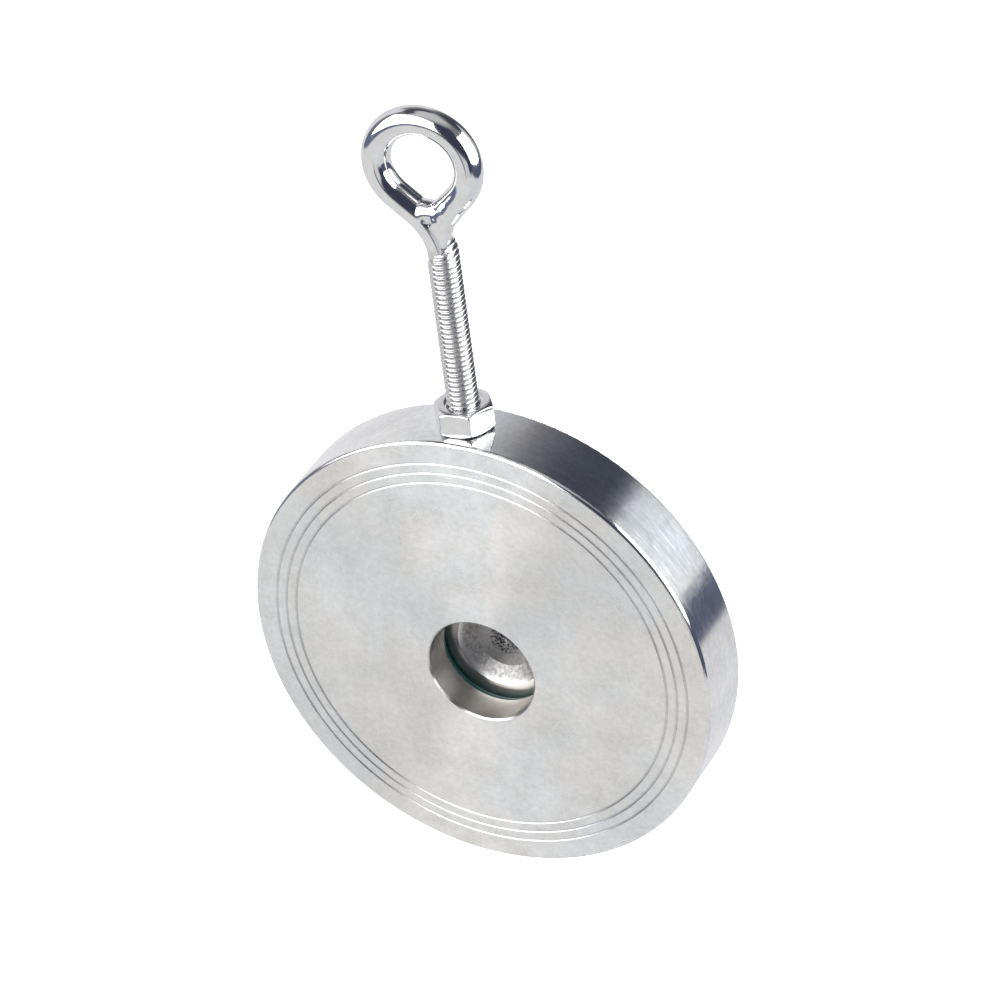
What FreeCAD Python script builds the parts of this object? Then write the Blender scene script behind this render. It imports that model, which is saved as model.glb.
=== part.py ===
"""Thin wafer swing check valve for a DN40 pipe, with its lifting eyebolt.

Frame, in millimetres: the origin is the centre of the inlet face, on the axis of the
round body.  +Y is the flow, +Z points up along the eyebolt, and +X is the hinge's axis.
"""
import FreeCAD, Part

import math
import os

from FreeCAD import Vector

# Body: a turned disc that sits between two pipe flanges, inside their bolts.
BODY_RADIUS = 46.0
BODY_THICKNESS = 14.0
BODY_EDGE_ROUNDING = 0.8
GASKET_GROOVE_RADII = (37.5, 39.5, 41.5)
GASKET_GROOVE_WIDTH = 0.5
GASKET_GROOVE_FLOOR = 0.06
GASKET_GROOVE_DEPTH = 0.13

# Inlet bore: set below the body's axis, which leaves room for the hinge above it.
BORE_RADIUS = 10.65
BORE_DROP = 3.5
BORE_EDGE_CHAMFER = 0.3

# Seat: an O-ring in a step that is open to the bore and undercut to hold the ring.
SEAT_Y = 8.0
O_RING_CORD_RADIUS = 0.89
O_RING_INNER_RADIUS = 10.975
O_RING_PROUD = 0.22
O_RING_PLAY = 0.02
SEAT_STEP_MOUTH_RADIUS = 12.62
SEAT_STEP_FLOOR_RADIUS = 13.05

# Outlet recess: as wide as the pipe's bore, so that the flap can swing into the pipe.
RECESS_RADIUS = 21.0
RECESS_EDGE_CHAMFER = 0.3
LAND_Z = 11.0
LAND_Y = 11.8

# Hinge: the pin lies in two slots and the flap's knuckle turns between them.
HINGE_Y = 10.28
HINGE_Z = 15.0
PIN_RADIUS = 1.5
PIN_HALF_LENGTH = 11.4
PIN_CHAMFER = 0.3
PIN_SLOT_CLEARANCE = 0.02
PIN_SLOT_END = 11.6
PIN_RUNNING_CLEARANCE = 0.05
HINGE_POCKET_HALF_WIDTH = 7.2
HINGE_POCKET_FLOOR_Y = 6.8
HINGE_POCKET_TOP_Z = 20.3
HINGE_POCKET_CORNER_RADIUS = 1.5
OPEN_ANGLE = 70.0

# Flap: a dished disc with its arm, knuckle and stop heel in one piece.
FLAP_FACE_Y = 8.3
FLAP_RADIUS = 14.5
FLAP_EDGE_CHAMFER = 0.3
FLAP_RIM_BACK_Y = 11.4
FLAP_BACK_CHAMFER = 0.4
DISH_MOUTH_RADIUS = 8.6
DISH_FLOOR_RADIUS = 5.64
DISH_FLOOR_Y = 10.5
DISH_PIP_RADIUS = 0.8
DISH_PIP_DEPTH = 0.45
BACK_BOSS_Y = 13.0
BACK_BOSS_RADIUS = 7.4
BACK_BOSS_FOOT_RADIUS = 9.0
KNUCKLE_RADIUS = 3.0
KNUCKLE_HALF_WIDTH = 6.6
ARM_FRONT_Y = 9.3
ARM_BACK_Y = 12.7
ARM_FOOT_Z = 2.0
ARM_FOOT_HALF_WIDTH = 4.2
HEEL_REACH = 3.35
HEEL_LENGTH = 3.2
HEEL_LEAD = 0.3
HEEL_CHAMFER = 0.3

# Thrust washers: one each side of the knuckle, on the pin.
WASHER_RADIUS = 2.7
WASHER_THICKNESS = 0.5
WASHER_BORE_RADIUS = 1.56
WASHER_GAP = 0.05

# Pin keepers: plates over the pin's ends, each held by one countersunk M3 screw.
KEEPER_HALF_WIDTH = 3.2
KEEPER_INNER_X = 7.4
KEEPER_SCREW_X = 14.8
KEEPER_THICKNESS = 2.0
KEEPER_POCKET_CLEARANCE = 0.1
KEEPER_EDGE_CHAMFER = 0.2
SCREW_RADIUS = 1.5
SCREW_HEAD_RADIUS = 2.75
SCREW_HEAD_LAND = 0.25
SCREW_HEAD_SINK = 0.1
SCREW_LENGTH = 8.0
SCREW_TIP_CHAMFER = 0.4
SCREW_HOLE_CLEARANCE = 0.02
SCREW_HOLE_BOTTOM_Y = 4.9
HEX_SOCKET_ACROSS_FLATS = 2.0
HEX_SOCKET_DEPTH = 1.1

# Lifting eyebolt: M6 rod with its end bent round to an eye and closed on the shank.
STUD_Y = BODY_THICKNESS / 2
THREAD_RADIUS = 2.95
THREAD_BOTTOM_Z = 35.2
THREAD_TOP_Z = 81.0
THREAD_HOLE_RADIUS = 2.97
THREAD_HOLE_BOTTOM_Z = 34.0
DRILL_POINT_ANGLE = 118.0
WIRE_RADIUS = 2.65
EYE_TURN = 4.0
EYE_CENTRE_U = -1.6
EYE_CENTRE_Z = 99.3
EYE_RADIUS = 8.65
RISING_LEG_ANGLE = 138.5
FALLING_LEG_ANGLE = 227.3
NECK_BEND_RADIUS = 11.6
FALLING_LEG_LENGTH = 3.4
TAIL_ANGLE = 244.6
TAIL_LENGTH = 4.3
TAIL_RADIUS = 2.2

# Lock nut: M6, standing on the crown of the rim.
NUT_ACROSS_FLATS = 10.0
NUT_HEIGHT = 5.0
NUT_BORE_RADIUS = 3.0
NUT_TURN = 6.0
NUT_CHAMFER_ANGLE = 30.0
NUT_FACE_RADIUS = 4.75

# How far a cutting shape runs past the surface that it opens.
OVERCUT = 1.0

X_AXIS = Vector(1, 0, 0)
Y_AXIS = Vector(0, 1, 0)
Z_AXIS = Vector(0, 0, 1)
ORIGIN = Vector(0, 0, 0)


def turned(outline, axis_z=0.0):
    """Solid of revolution about a line along Y, from its (radius, y) outline."""
    points = [Vector(radius, y, axis_z) for radius, y in outline]
    face = Part.Face(Part.makePolygon(points + points[:1]))
    return face.revolve(Vector(0, 0, axis_z), Y_AXIS, 360)


def block(x_range, y_range, z_range):
    """Box from its three ranges."""
    low = Vector(x_range[0], y_range[0], z_range[0])
    size = Vector(x_range[1], y_range[1], z_range[1]) - low
    return Part.makeBox(size.x, size.y, size.z, low)


def both_sides(shape):
    """The shape together with its mirror image across X = 0."""
    return shape.fuse(shape.mirror(ORIGIN, X_AXIS))


def edges_along(shape, direction, test):
    """Straight edges parallel to a direction whose middle passes a test."""
    found = []
    for edge in shape.Edges:
        if edge.Curve.TypeId != "Part::GeomLine":
            continue
        if abs(edge.tangentAt(edge.FirstParameter).dot(direction)) < 0.999:
            continue
        if test(edge.valueAt((edge.FirstParameter + edge.LastParameter) / 2)):
            found.append(edge)
    return found


def closed_edges(shape):
    """The round end edges of a turned shape."""
    return [edge for edge in shape.Edges if edge.Closed]


def lowest_y(edge):
    """How far upstream an edge reaches."""
    return min(vertex.Point.y for vertex in edge.Vertexes)


def gasket_groove(radius, face_y, inward):
    """The four outline points of one V-groove in a face, in rising radius."""
    floor_y = face_y + inward * GASKET_GROOVE_DEPTH
    return [
        (radius - GASKET_GROOVE_WIDTH / 2, face_y),
        (radius - GASKET_GROOVE_FLOOR / 2, floor_y),
        (radius + GASKET_GROOVE_FLOOR / 2, floor_y),
        (radius + GASKET_GROOVE_WIDTH / 2, face_y),
    ]


def make_body_blank():
    """The turned disc with its rounded edges and the gasket grooves on both faces."""
    inlet = []
    outlet = []
    for radius in GASKET_GROOVE_RADII:
        inlet += gasket_groove(radius, 0.0, 1)
        outlet += gasket_groove(radius, BODY_THICKNESS, -1)
    rim = [(BODY_RADIUS, 0.0), (BODY_RADIUS, BODY_THICKNESS)]
    outline = [(0.0, 0.0)] + inlet + rim + outlet[::-1] + [(0.0, BODY_THICKNESS)]
    blank = turned(outline)
    outermost = [
        edge for edge in closed_edges(blank) if math.isclose(edge.Curve.Radius, BODY_RADIUS)
    ]
    return blank.makeFillet(BODY_EDGE_ROUNDING, outermost)


def make_bore_cut():
    """Inlet bore with its edge break, and the undercut step for the O-ring."""
    floor_y = SEAT_Y + O_RING_PROUD - 2 * O_RING_CORD_RADIUS - O_RING_PLAY
    mouth_radius = BORE_RADIUS + BORE_EDGE_CHAMFER
    outline = [
        (0.0, -OVERCUT),
        (mouth_radius + OVERCUT, -OVERCUT),
        (BORE_RADIUS, BORE_EDGE_CHAMFER),
        (BORE_RADIUS, floor_y),
        (SEAT_STEP_FLOOR_RADIUS, floor_y),
        (SEAT_STEP_MOUTH_RADIUS, SEAT_Y),
        (SEAT_STEP_MOUTH_RADIUS, SEAT_Y + OVERCUT),
        (0.0, SEAT_Y + OVERCUT),
    ]
    return turned(outline, -BORE_DROP)


def make_recess_cut():
    """Round outlet recess: deep for the flap, shallow over the two hinge lands."""
    top_y = BODY_THICKNESS + OVERCUT
    edge = RECESS_RADIUS + RECESS_EDGE_CHAMFER
    outline = [
        (0.0, SEAT_Y),
        (RECESS_RADIUS, SEAT_Y),
        (RECESS_RADIUS, BODY_THICKNESS - RECESS_EDGE_CHAMFER),
        (edge + OVERCUT, top_y),
        (0.0, top_y),
    ]
    span = (-BODY_RADIUS, BODY_RADIUS)
    lands = block(span, (SEAT_Y - OVERCUT, LAND_Y), (LAND_Z, BODY_RADIUS))
    return turned(outline).cut(lands)


def make_hinge_cut():
    """Pocket for the knuckle, slots for the pin's ends, and the two keeper pockets."""
    top_y = BODY_THICKNESS + OVERCUT
    half_width = HINGE_POCKET_HALF_WIDTH
    pocket = block(
        (-half_width, half_width),
        (HINGE_POCKET_FLOOR_Y, top_y),
        (LAND_Z, HINGE_POCKET_TOP_Z),
    )
    top_corners = edges_along(pocket, Y_AXIS, lambda middle: middle.z > HINGE_Z)
    pocket = pocket.makeFillet(HINGE_POCKET_CORNER_RADIUS, top_corners)

    slot_radius = PIN_RADIUS + PIN_SLOT_CLEARANCE
    slot = Part.makeCylinder(slot_radius, PIN_SLOT_END, Vector(0, HINGE_Y, HINGE_Z), X_AXIS)
    slot_mouth = block(
        (0.0, PIN_SLOT_END),
        (HINGE_Y, top_y),
        (HINGE_Z - slot_radius, HINGE_Z + slot_radius),
    )
    keeper_pocket = keeper_blank(KEEPER_POCKET_CLEARANCE, half_width - OVERCUT, top_y)
    side = slot.fuse([slot_mouth, keeper_pocket, screw_hole()])
    return pocket.fuse(both_sides(side))


def keeper_blank(clearance, inner_x, back_y):
    """Plate on the land: square at its inner end, round about the screw at its outer."""
    half_width = KEEPER_HALF_WIDTH + clearance
    height = back_y - LAND_Y
    plate = block(
        (inner_x, KEEPER_SCREW_X),
        (LAND_Y, back_y),
        (HINGE_Z - half_width, HINGE_Z + half_width),
    )
    end = Part.makeCylinder(half_width, height, Vector(KEEPER_SCREW_X, LAND_Y, HINGE_Z), Y_AXIS)
    return plate.fuse(end).removeSplitter()


def screw_hole():
    """Blind hole for a keeper's screw, with its drill point."""
    radius = SCREW_RADIUS + SCREW_HOLE_CLEARANCE
    point = radius / math.tan(math.radians(DRILL_POINT_ANGLE / 2))
    base = Vector(KEEPER_SCREW_X, SCREW_HOLE_BOTTOM_Y, HINGE_Z)
    hole = Part.makeCylinder(radius, LAND_Y - SCREW_HOLE_BOTTOM_Y + OVERCUT, base, Y_AXIS)
    return hole.fuse(Part.makeCone(radius, 0.0, point, base, -Y_AXIS))


def make_eyebolt_hole():
    """Blind M6 hole down into the rim, with its drill point."""
    point = THREAD_HOLE_RADIUS / math.tan(math.radians(DRILL_POINT_ANGLE / 2))
    base = Vector(0, STUD_Y, THREAD_HOLE_BOTTOM_Z)
    depth = BODY_RADIUS - THREAD_HOLE_BOTTOM_Z + OVERCUT
    hole = Part.makeCylinder(THREAD_HOLE_RADIUS, depth, base, Z_AXIS)
    return hole.fuse(Part.makeCone(THREAD_HOLE_RADIUS, 0.0, point, base, -Z_AXIS))


def make_body():
    cuts = [make_bore_cut(), make_recess_cut(), make_hinge_cut(), make_eyebolt_hole()]
    return make_body_blank().cut(cuts)


def make_o_ring():
    """Torus about the bore's axis; its crest stands proud of the seat."""
    centre = Vector(0, SEAT_Y + O_RING_PROUD - O_RING_CORD_RADIUS, -BORE_DROP)
    ring_radius = O_RING_INNER_RADIUS + O_RING_CORD_RADIUS
    return Part.makeTorus(ring_radius, O_RING_CORD_RADIUS, centre, Y_AXIS)


def make_flap_disc():
    """Dished disc: flat sealing band in front, raised boss behind, chamfered rim."""
    outline = [
        (0.0, DISH_FLOOR_Y + DISH_PIP_DEPTH),
        (DISH_PIP_RADIUS, DISH_FLOOR_Y),
        (DISH_FLOOR_RADIUS, DISH_FLOOR_Y),
        (DISH_MOUTH_RADIUS, FLAP_FACE_Y),
        (FLAP_RADIUS - FLAP_EDGE_CHAMFER, FLAP_FACE_Y),
        (FLAP_RADIUS, FLAP_FACE_Y + FLAP_EDGE_CHAMFER),
        (FLAP_RADIUS, FLAP_RIM_BACK_Y - FLAP_BACK_CHAMFER),
        (FLAP_RADIUS - FLAP_BACK_CHAMFER, FLAP_RIM_BACK_Y),
        (BACK_BOSS_FOOT_RADIUS, FLAP_RIM_BACK_Y),
        (BACK_BOSS_RADIUS, BACK_BOSS_Y),
        (0.0, BACK_BOSS_Y),
    ]
    return turned(outline, -BORE_DROP)


def make_arm():
    """Tapered arm from the disc's boss up to the knuckle."""
    corners = [
        (-KNUCKLE_HALF_WIDTH, HINGE_Z),
        (KNUCKLE_HALF_WIDTH, HINGE_Z),
        (KNUCKLE_HALF_WIDTH, HINGE_Z - KNUCKLE_RADIUS),
        (ARM_FOOT_HALF_WIDTH, ARM_FOOT_Z),
        (-ARM_FOOT_HALF_WIDTH, ARM_FOOT_Z),
        (-KNUCKLE_HALF_WIDTH, HINGE_Z - KNUCKLE_RADIUS),
    ]
    points = [Vector(x, ARM_FRONT_Y, z) for x, z in corners]
    face = Part.Face(Part.makePolygon(points + points[:1]))
    return face.extrude(Vector(0, ARM_BACK_Y - ARM_FRONT_Y, 0))


def make_heel():
    """Stop heel, drawn at full opening, where it lies on the pocket's floor, and turned back."""
    width = 2 * KNUCKLE_HALF_WIDTH
    low = Vector(-KNUCKLE_HALF_WIDTH, HINGE_Y - HEEL_REACH, HINGE_Z - HEEL_LEAD)
    heel = Part.makeBox(width, HEEL_REACH, HEEL_LENGTH + HEEL_LEAD, low)
    toe = edges_along(heel, X_AXIS, lambda middle: middle.z > HINGE_Z)
    heel = heel.makeChamfer(HEEL_CHAMFER, toe)
    heel.rotate(Vector(0, HINGE_Y, HINGE_Z), X_AXIS, -OPEN_ANGLE)
    return heel


def make_flap():
    """Disc, arm, knuckle and stop heel, bored for the pin."""
    left_end = Vector(-KNUCKLE_HALF_WIDTH, HINGE_Y, HINGE_Z)
    width = 2 * KNUCKLE_HALF_WIDTH
    knuckle = Part.makeCylinder(KNUCKLE_RADIUS, width, left_end, X_AXIS)
    bore_radius = PIN_RADIUS + PIN_RUNNING_CLEARANCE
    bore = Part.makeCylinder(bore_radius, width, left_end, X_AXIS)
    solid = make_flap_disc().fuse([make_arm(), knuckle, make_heel()])
    return solid.cut(bore).removeSplitter()


def make_pin():
    """Hinge pin with chamfered ends."""
    left_end = Vector(-PIN_HALF_LENGTH, HINGE_Y, HINGE_Z)
    pin = Part.makeCylinder(PIN_RADIUS, 2 * PIN_HALF_LENGTH, left_end, X_AXIS)
    return pin.makeChamfer(PIN_CHAMFER, closed_edges(pin))


def make_washer(side):
    """Thrust washer on the pin, between the knuckle and the land on one side."""
    inner_x = KNUCKLE_HALF_WIDTH + WASHER_GAP
    start = Vector(side * inner_x, HINGE_Y, HINGE_Z)
    direction = Vector(side, 0, 0)
    disc = Part.makeCylinder(WASHER_RADIUS, WASHER_THICKNESS, start, direction)
    return disc.cut(Part.makeCylinder(WASHER_BORE_RADIUS, WASHER_THICKNESS, start, direction))


def make_keeper(side):
    """Keeper plate with its countersunk hole."""
    back_y = LAND_Y + KEEPER_THICKNESS
    plate = keeper_blank(0.0, KEEPER_INNER_X, back_y)
    middle_y = LAND_Y + KEEPER_THICKNESS / 2
    back_edges = [edge for edge in plate.Edges if lowest_y(edge) > middle_y]
    plate = plate.makeChamfer(KEEPER_EDGE_CHAMFER, back_edges)
    head = turned_screw_head(SCREW_HOLE_CLEARANCE, back_y + OVERCUT)
    hole_base = Vector(KEEPER_SCREW_X, LAND_Y, HINGE_Z)
    hole_radius = SCREW_RADIUS + SCREW_HOLE_CLEARANCE
    hole = Part.makeCylinder(hole_radius, KEEPER_THICKNESS, hole_base, Y_AXIS)
    return on_side(plate.cut([head, hole]), side)


def turned_screw_head(clearance, top_y):
    """Countersunk head under its own top face, widened by a clearance."""
    head_top = LAND_Y + KEEPER_THICKNESS - SCREW_HEAD_SINK
    land_y = head_top - SCREW_HEAD_LAND
    foot_y = land_y - (SCREW_HEAD_RADIUS - SCREW_RADIUS)
    outline = [
        (0.0, foot_y),
        (SCREW_RADIUS + clearance, foot_y),
        (SCREW_HEAD_RADIUS + clearance, land_y),
        (SCREW_HEAD_RADIUS + clearance, top_y),
        (0.0, top_y),
    ]
    head = turned(outline)
    head.translate(Vector(KEEPER_SCREW_X, 0, HINGE_Z))
    return head


def make_screw(side):
    """Countersunk M3 screw with a hexagon socket."""
    head_top = LAND_Y + KEEPER_THICKNESS - SCREW_HEAD_SINK
    tip_y = head_top - SCREW_LENGTH
    shank = Part.makeCylinder(
        SCREW_RADIUS, SCREW_LENGTH - OVERCUT, Vector(KEEPER_SCREW_X, tip_y, HINGE_Z), Y_AXIS
    )
    tip_edges = [edge for edge in closed_edges(shank) if lowest_y(edge) < LAND_Y / 2]
    shank = shank.makeChamfer(SCREW_TIP_CHAMFER, tip_edges)
    socket = hexagon_prism(HEX_SOCKET_ACROSS_FLATS, HEX_SOCKET_DEPTH)
    socket.rotate(ORIGIN, X_AXIS, -90)
    socket.translate(Vector(KEEPER_SCREW_X, head_top - HEX_SOCKET_DEPTH, HINGE_Z))
    screw = shank.fuse(turned_screw_head(0.0, head_top)).cut(socket)
    return on_side(screw, side)


def on_side(shape, side):
    """The right-hand shape itself, or its mirror image for the left-hand side."""
    if side > 0:
        return shape
    return shape.mirror(ORIGIN, X_AXIS)


def hexagon_prism(across_flats, height):
    """Hexagonal prism standing on Z = 0, with corners on the X axis."""
    corner_radius = across_flats / math.sqrt(3)
    points = []
    for corner in range(6):
        angle = math.radians(60 * corner)
        points.append(Vector(corner_radius * math.cos(angle), corner_radius * math.sin(angle), 0))
    face = Part.Face(Part.makePolygon(points + points[:1]))
    return face.extrude(Vector(0, 0, height))


def direction_at(angle):
    """Unit direction in the eye's plane, from its angle above the U axis."""
    return Vector(math.cos(math.radians(angle)), 0, math.sin(math.radians(angle)))


def round_rod(edges, radius):
    """Round rod of one radius along a chain of tangent edges."""
    path = Part.Wire(edges)
    start = path.Edges[0].valueAt(path.Edges[0].FirstParameter)
    tangent = path.Edges[0].tangentAt(path.Edges[0].FirstParameter)
    profile = Part.Wire(Part.Edge(Part.Circle(start, tangent, radius)))
    return path.makePipeShell([profile], True, True)


def make_eye_rod():
    """Wire part of the eyebolt in the plane Y = 0: neck bend, rising leg, eye and falling leg."""
    centre = Vector(EYE_CENTRE_U, 0, EYE_CENTRE_Z)
    rising = direction_at(RISING_LEG_ANGLE)
    falling = direction_at(FALLING_LEG_ANGLE)
    eye_start = centre - direction_at(RISING_LEG_ANGLE - 90) * EYE_RADIUS
    eye_end = centre - direction_at(FALLING_LEG_ANGLE - 90) * EYE_RADIUS
    eye_top = centre + Z_AXIS * EYE_RADIUS

    corner = eye_start - rising * (eye_start.x / rising.x)
    half_turn = math.radians((RISING_LEG_ANGLE - 90) / 2)
    setback = NECK_BEND_RADIUS * math.tan(half_turn)
    bend_start = corner - Z_AXIS * setback
    bend_end = corner + rising * setback
    bend_centre = bend_start - X_AXIS * NECK_BEND_RADIUS
    bend_middle = bend_centre + direction_at(math.degrees(half_turn)) * NECK_BEND_RADIUS
    leg_end = eye_end + falling * FALLING_LEG_LENGTH
    foot = Vector(0, 0, THREAD_TOP_Z - OVERCUT)

    rod = round_rod(
        [
            Part.makeLine(foot, bend_start),
            Part.Arc(bend_start, bend_middle, bend_end).toShape(),
            Part.makeLine(bend_end, eye_start),
            Part.Arc(eye_start, eye_top, eye_end).toShape(),
            Part.makeLine(eye_end, leg_end),
        ],
        WIRE_RADIUS,
    )
    tail = Part.makeCylinder(TAIL_RADIUS, TAIL_LENGTH, leg_end, direction_at(TAIL_ANGLE))
    knee = Part.makeSphere(TAIL_RADIUS, leg_end)
    return rod.fuse([tail, knee])


def make_eyebolt():
    """Threaded stud, as a plain rod of the thread's outside radius, with the bent eye."""
    height = THREAD_TOP_Z - THREAD_BOTTOM_Z
    stud = Part.makeCylinder(THREAD_RADIUS, height, Vector(0, 0, THREAD_BOTTOM_Z), Z_AXIS)
    stud = stud.makeChamfer(THREAD_RADIUS - WIRE_RADIUS, closed_edges(stud))
    eyebolt = stud.fuse(make_eye_rod())
    eyebolt.rotate(ORIGIN, Z_AXIS, EYE_TURN)
    eyebolt.translate(Vector(0, STUD_Y, 0))
    return eyebolt


def make_nut():
    """Hexagon nut with both ends of its corners turned off to a cone."""
    corner_radius = NUT_ACROSS_FLATS / math.sqrt(3)
    cone_height = (corner_radius - NUT_FACE_RADIUS) * math.tan(math.radians(NUT_CHAMFER_ANGLE))
    outline = [
        (0.0, 0.0),
        (NUT_FACE_RADIUS, 0.0),
        (corner_radius, cone_height),
        (corner_radius, NUT_HEIGHT - cone_height),
        (NUT_FACE_RADIUS, NUT_HEIGHT),
        (0.0, NUT_HEIGHT),
    ]
    envelope = turned(outline)
    envelope.rotate(ORIGIN, X_AXIS, 90)
    nut = hexagon_prism(NUT_ACROSS_FLATS, NUT_HEIGHT).common(envelope)
    nut = nut.cut(Part.makeCylinder(NUT_BORE_RADIUS, NUT_HEIGHT))
    nut.rotate(ORIGIN, Z_AXIS, NUT_TURN)
    nut.translate(Vector(0, STUD_Y, BODY_RADIUS))
    return nut


def make_nodes():
    """Every separate piece of the valve, by its node's name."""
    nodes = {
        "valve_body": make_body(),
        "seat_o_ring": make_o_ring(),
        "flap": make_flap(),
        "hinge_pin": make_pin(),
        "lifting_eyebolt": make_eyebolt(),
        "lock_nut": make_nut(),
    }
    for name, side in (("left", -1), ("right", 1)):
        nodes["thrust_washer_" + name] = make_washer(side)
        nodes["pin_keeper_" + name] = make_keeper(side)
        nodes["keeper_screw_" + name] = make_screw(side)
    return nodes


os.makedirs("parts", exist_ok=True)
for node_name, shape in make_nodes().items():
    solids = shape.Solids
    if len(solids) != 1 or not shape.isValid():
        raise RuntimeError(node_name + " is not one valid solid")
    solids[0].exportStep(os.path.join("parts", node_name + ".step"))
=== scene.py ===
"""Looks of the thin wafer check valve: camera, studio, detailed pieces and materials.

Units are metres in the shared frame: the origin is the centre of the inlet face,
+Y is the flow, +Z points up along the lifting eyebolt.  Meshes are drawn in millimetres.
"""

import math

import bpy
import numpy as np
from mathutils import Euler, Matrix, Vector


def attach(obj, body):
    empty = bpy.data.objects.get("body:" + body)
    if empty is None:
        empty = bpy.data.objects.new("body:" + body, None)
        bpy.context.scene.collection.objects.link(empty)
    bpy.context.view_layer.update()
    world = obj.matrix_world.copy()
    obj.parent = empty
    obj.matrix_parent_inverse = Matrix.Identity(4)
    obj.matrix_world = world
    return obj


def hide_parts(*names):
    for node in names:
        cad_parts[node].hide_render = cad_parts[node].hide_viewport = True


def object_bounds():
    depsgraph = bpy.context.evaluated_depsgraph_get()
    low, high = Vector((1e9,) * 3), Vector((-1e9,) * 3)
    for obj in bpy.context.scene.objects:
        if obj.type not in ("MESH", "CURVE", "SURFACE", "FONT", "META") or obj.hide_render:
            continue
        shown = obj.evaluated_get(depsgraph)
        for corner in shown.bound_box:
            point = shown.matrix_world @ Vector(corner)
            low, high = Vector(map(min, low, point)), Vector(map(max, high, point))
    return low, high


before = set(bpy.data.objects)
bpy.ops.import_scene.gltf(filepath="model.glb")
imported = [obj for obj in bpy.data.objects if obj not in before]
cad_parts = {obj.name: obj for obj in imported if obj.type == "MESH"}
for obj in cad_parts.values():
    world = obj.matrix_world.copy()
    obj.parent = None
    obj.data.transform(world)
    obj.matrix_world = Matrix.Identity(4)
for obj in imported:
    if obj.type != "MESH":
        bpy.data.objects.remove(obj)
cad_low, cad_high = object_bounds()

MM = 0.001

# ---------------------------------------------------------------- camera

CAMERA_LOCATION = (0.3478, -0.6112, 0.4814)
CAMERA_HEADING = 29.02
CAMERA_PITCH = 32.52
CAMERA_ROLL = -7.57
CAMERA_LENS = 167.1


def make_camera():
    """Long lens, looking down at the inlet face from its right."""
    data = bpy.data.cameras.new("camera")
    data.lens = CAMERA_LENS
    camera = bpy.data.objects.new("camera", data)
    camera.location = CAMERA_LOCATION
    turn = Euler((0, 0, math.radians(CAMERA_HEADING))).to_matrix()
    tilt = Euler((math.radians(90 - CAMERA_PITCH), 0, 0)).to_matrix()
    roll = Euler((0, 0, math.radians(CAMERA_ROLL))).to_matrix()
    camera.rotation_euler = (turn @ tilt @ roll).to_euler()
    bpy.context.scene.collection.objects.link(camera)
    bpy.context.scene.camera = camera


# ---------------------------------------------------------------- node helpers


class NodeTree:
    """Short calls that add nodes to one material's or world's node tree."""

    def __init__(self, tree):
        self.tree = tree
        self.tree.nodes.clear()

    def node(self, kind, inputs=None, **settings):
        """A new node with its settings, and its inputs set or linked."""
        made = self.tree.nodes.new(kind)
        for name, value in settings.items():
            setattr(made, name, value)
        for name, value in (inputs or {}).items():
            self.set(made, name, value)
        return made

    def set(self, node, name, value):
        """Links a socket's value, or sets a plain one."""
        socket = node.inputs[name]
        if isinstance(value, bpy.types.NodeSocket):
            self.tree.links.new(value, socket)
        else:
            socket.default_value = value

    def math(self, operation, a, b=0.0):
        return self.node("ShaderNodeMath", {0: a, 1: b}, operation=operation).outputs[0]

    def plus(self, a, b):
        return self.math("ADD", a, b)

    def times(self, a, b):
        return self.math("MULTIPLY", a, b)

    def ramp(self, value, start, end, low=0.0, high=1.0):
        """Smooth step of a value between two limits."""
        made = self.node(
            "ShaderNodeMapRange",
            {"Value": value, "From Min": start, "From Max": end, "To Min": low, "To Max": high},
            interpolation_type="SMOOTHSTEP",
        )
        return made.outputs[0]

    def mix(self, factor, a, b, blend="MIX"):
        """Mix of two colours, each plain or linked."""
        inputs = {0: factor, 6: a, 7: b}
        return self.node("ShaderNodeMix", inputs, data_type="RGBA", blend_type=blend).outputs[2]

    def multiply(self, a, b):
        return self.mix(1.0, a, b, "MULTIPLY")

    def bump(self, height, strength, distance, normal=None):
        """Normal roughened by a height, over the surface's own normal or a given one."""
        made = self.node(
            "ShaderNodeBump", {"Height": height, "Strength": strength, "Distance": distance}
        )
        if normal is not None:
            self.set(made, "Normal", normal)
        return made.outputs[0]

    def noise(self, vector, scale, detail=2.0, roughness=0.5):
        made = self.node(
            "ShaderNodeTexNoise",
            {"Vector": vector, "Scale": scale, "Detail": detail, "Roughness": roughness},
        )
        return made.outputs[0]

    def vector(self, x, y, z):
        return self.node("ShaderNodeCombineXYZ", {0: x, 1: y, 2: z}).outputs[0]

    def split(self, vector):
        return self.node("ShaderNodeSeparateXYZ", {0: vector}).outputs


# ---------------------------------------------------------------- studio

BACKGROUND = (1.0, 1.0, 1.0)
TABLE = (0.87, 0.88, 0.92)
GLOOM = (0.24, 0.24, 0.26)
CEILING = (0.70, 0.69, 0.72)
TABLE_EDGE = (-19, -14)
CEILING_EDGE = (44, 66)

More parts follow.
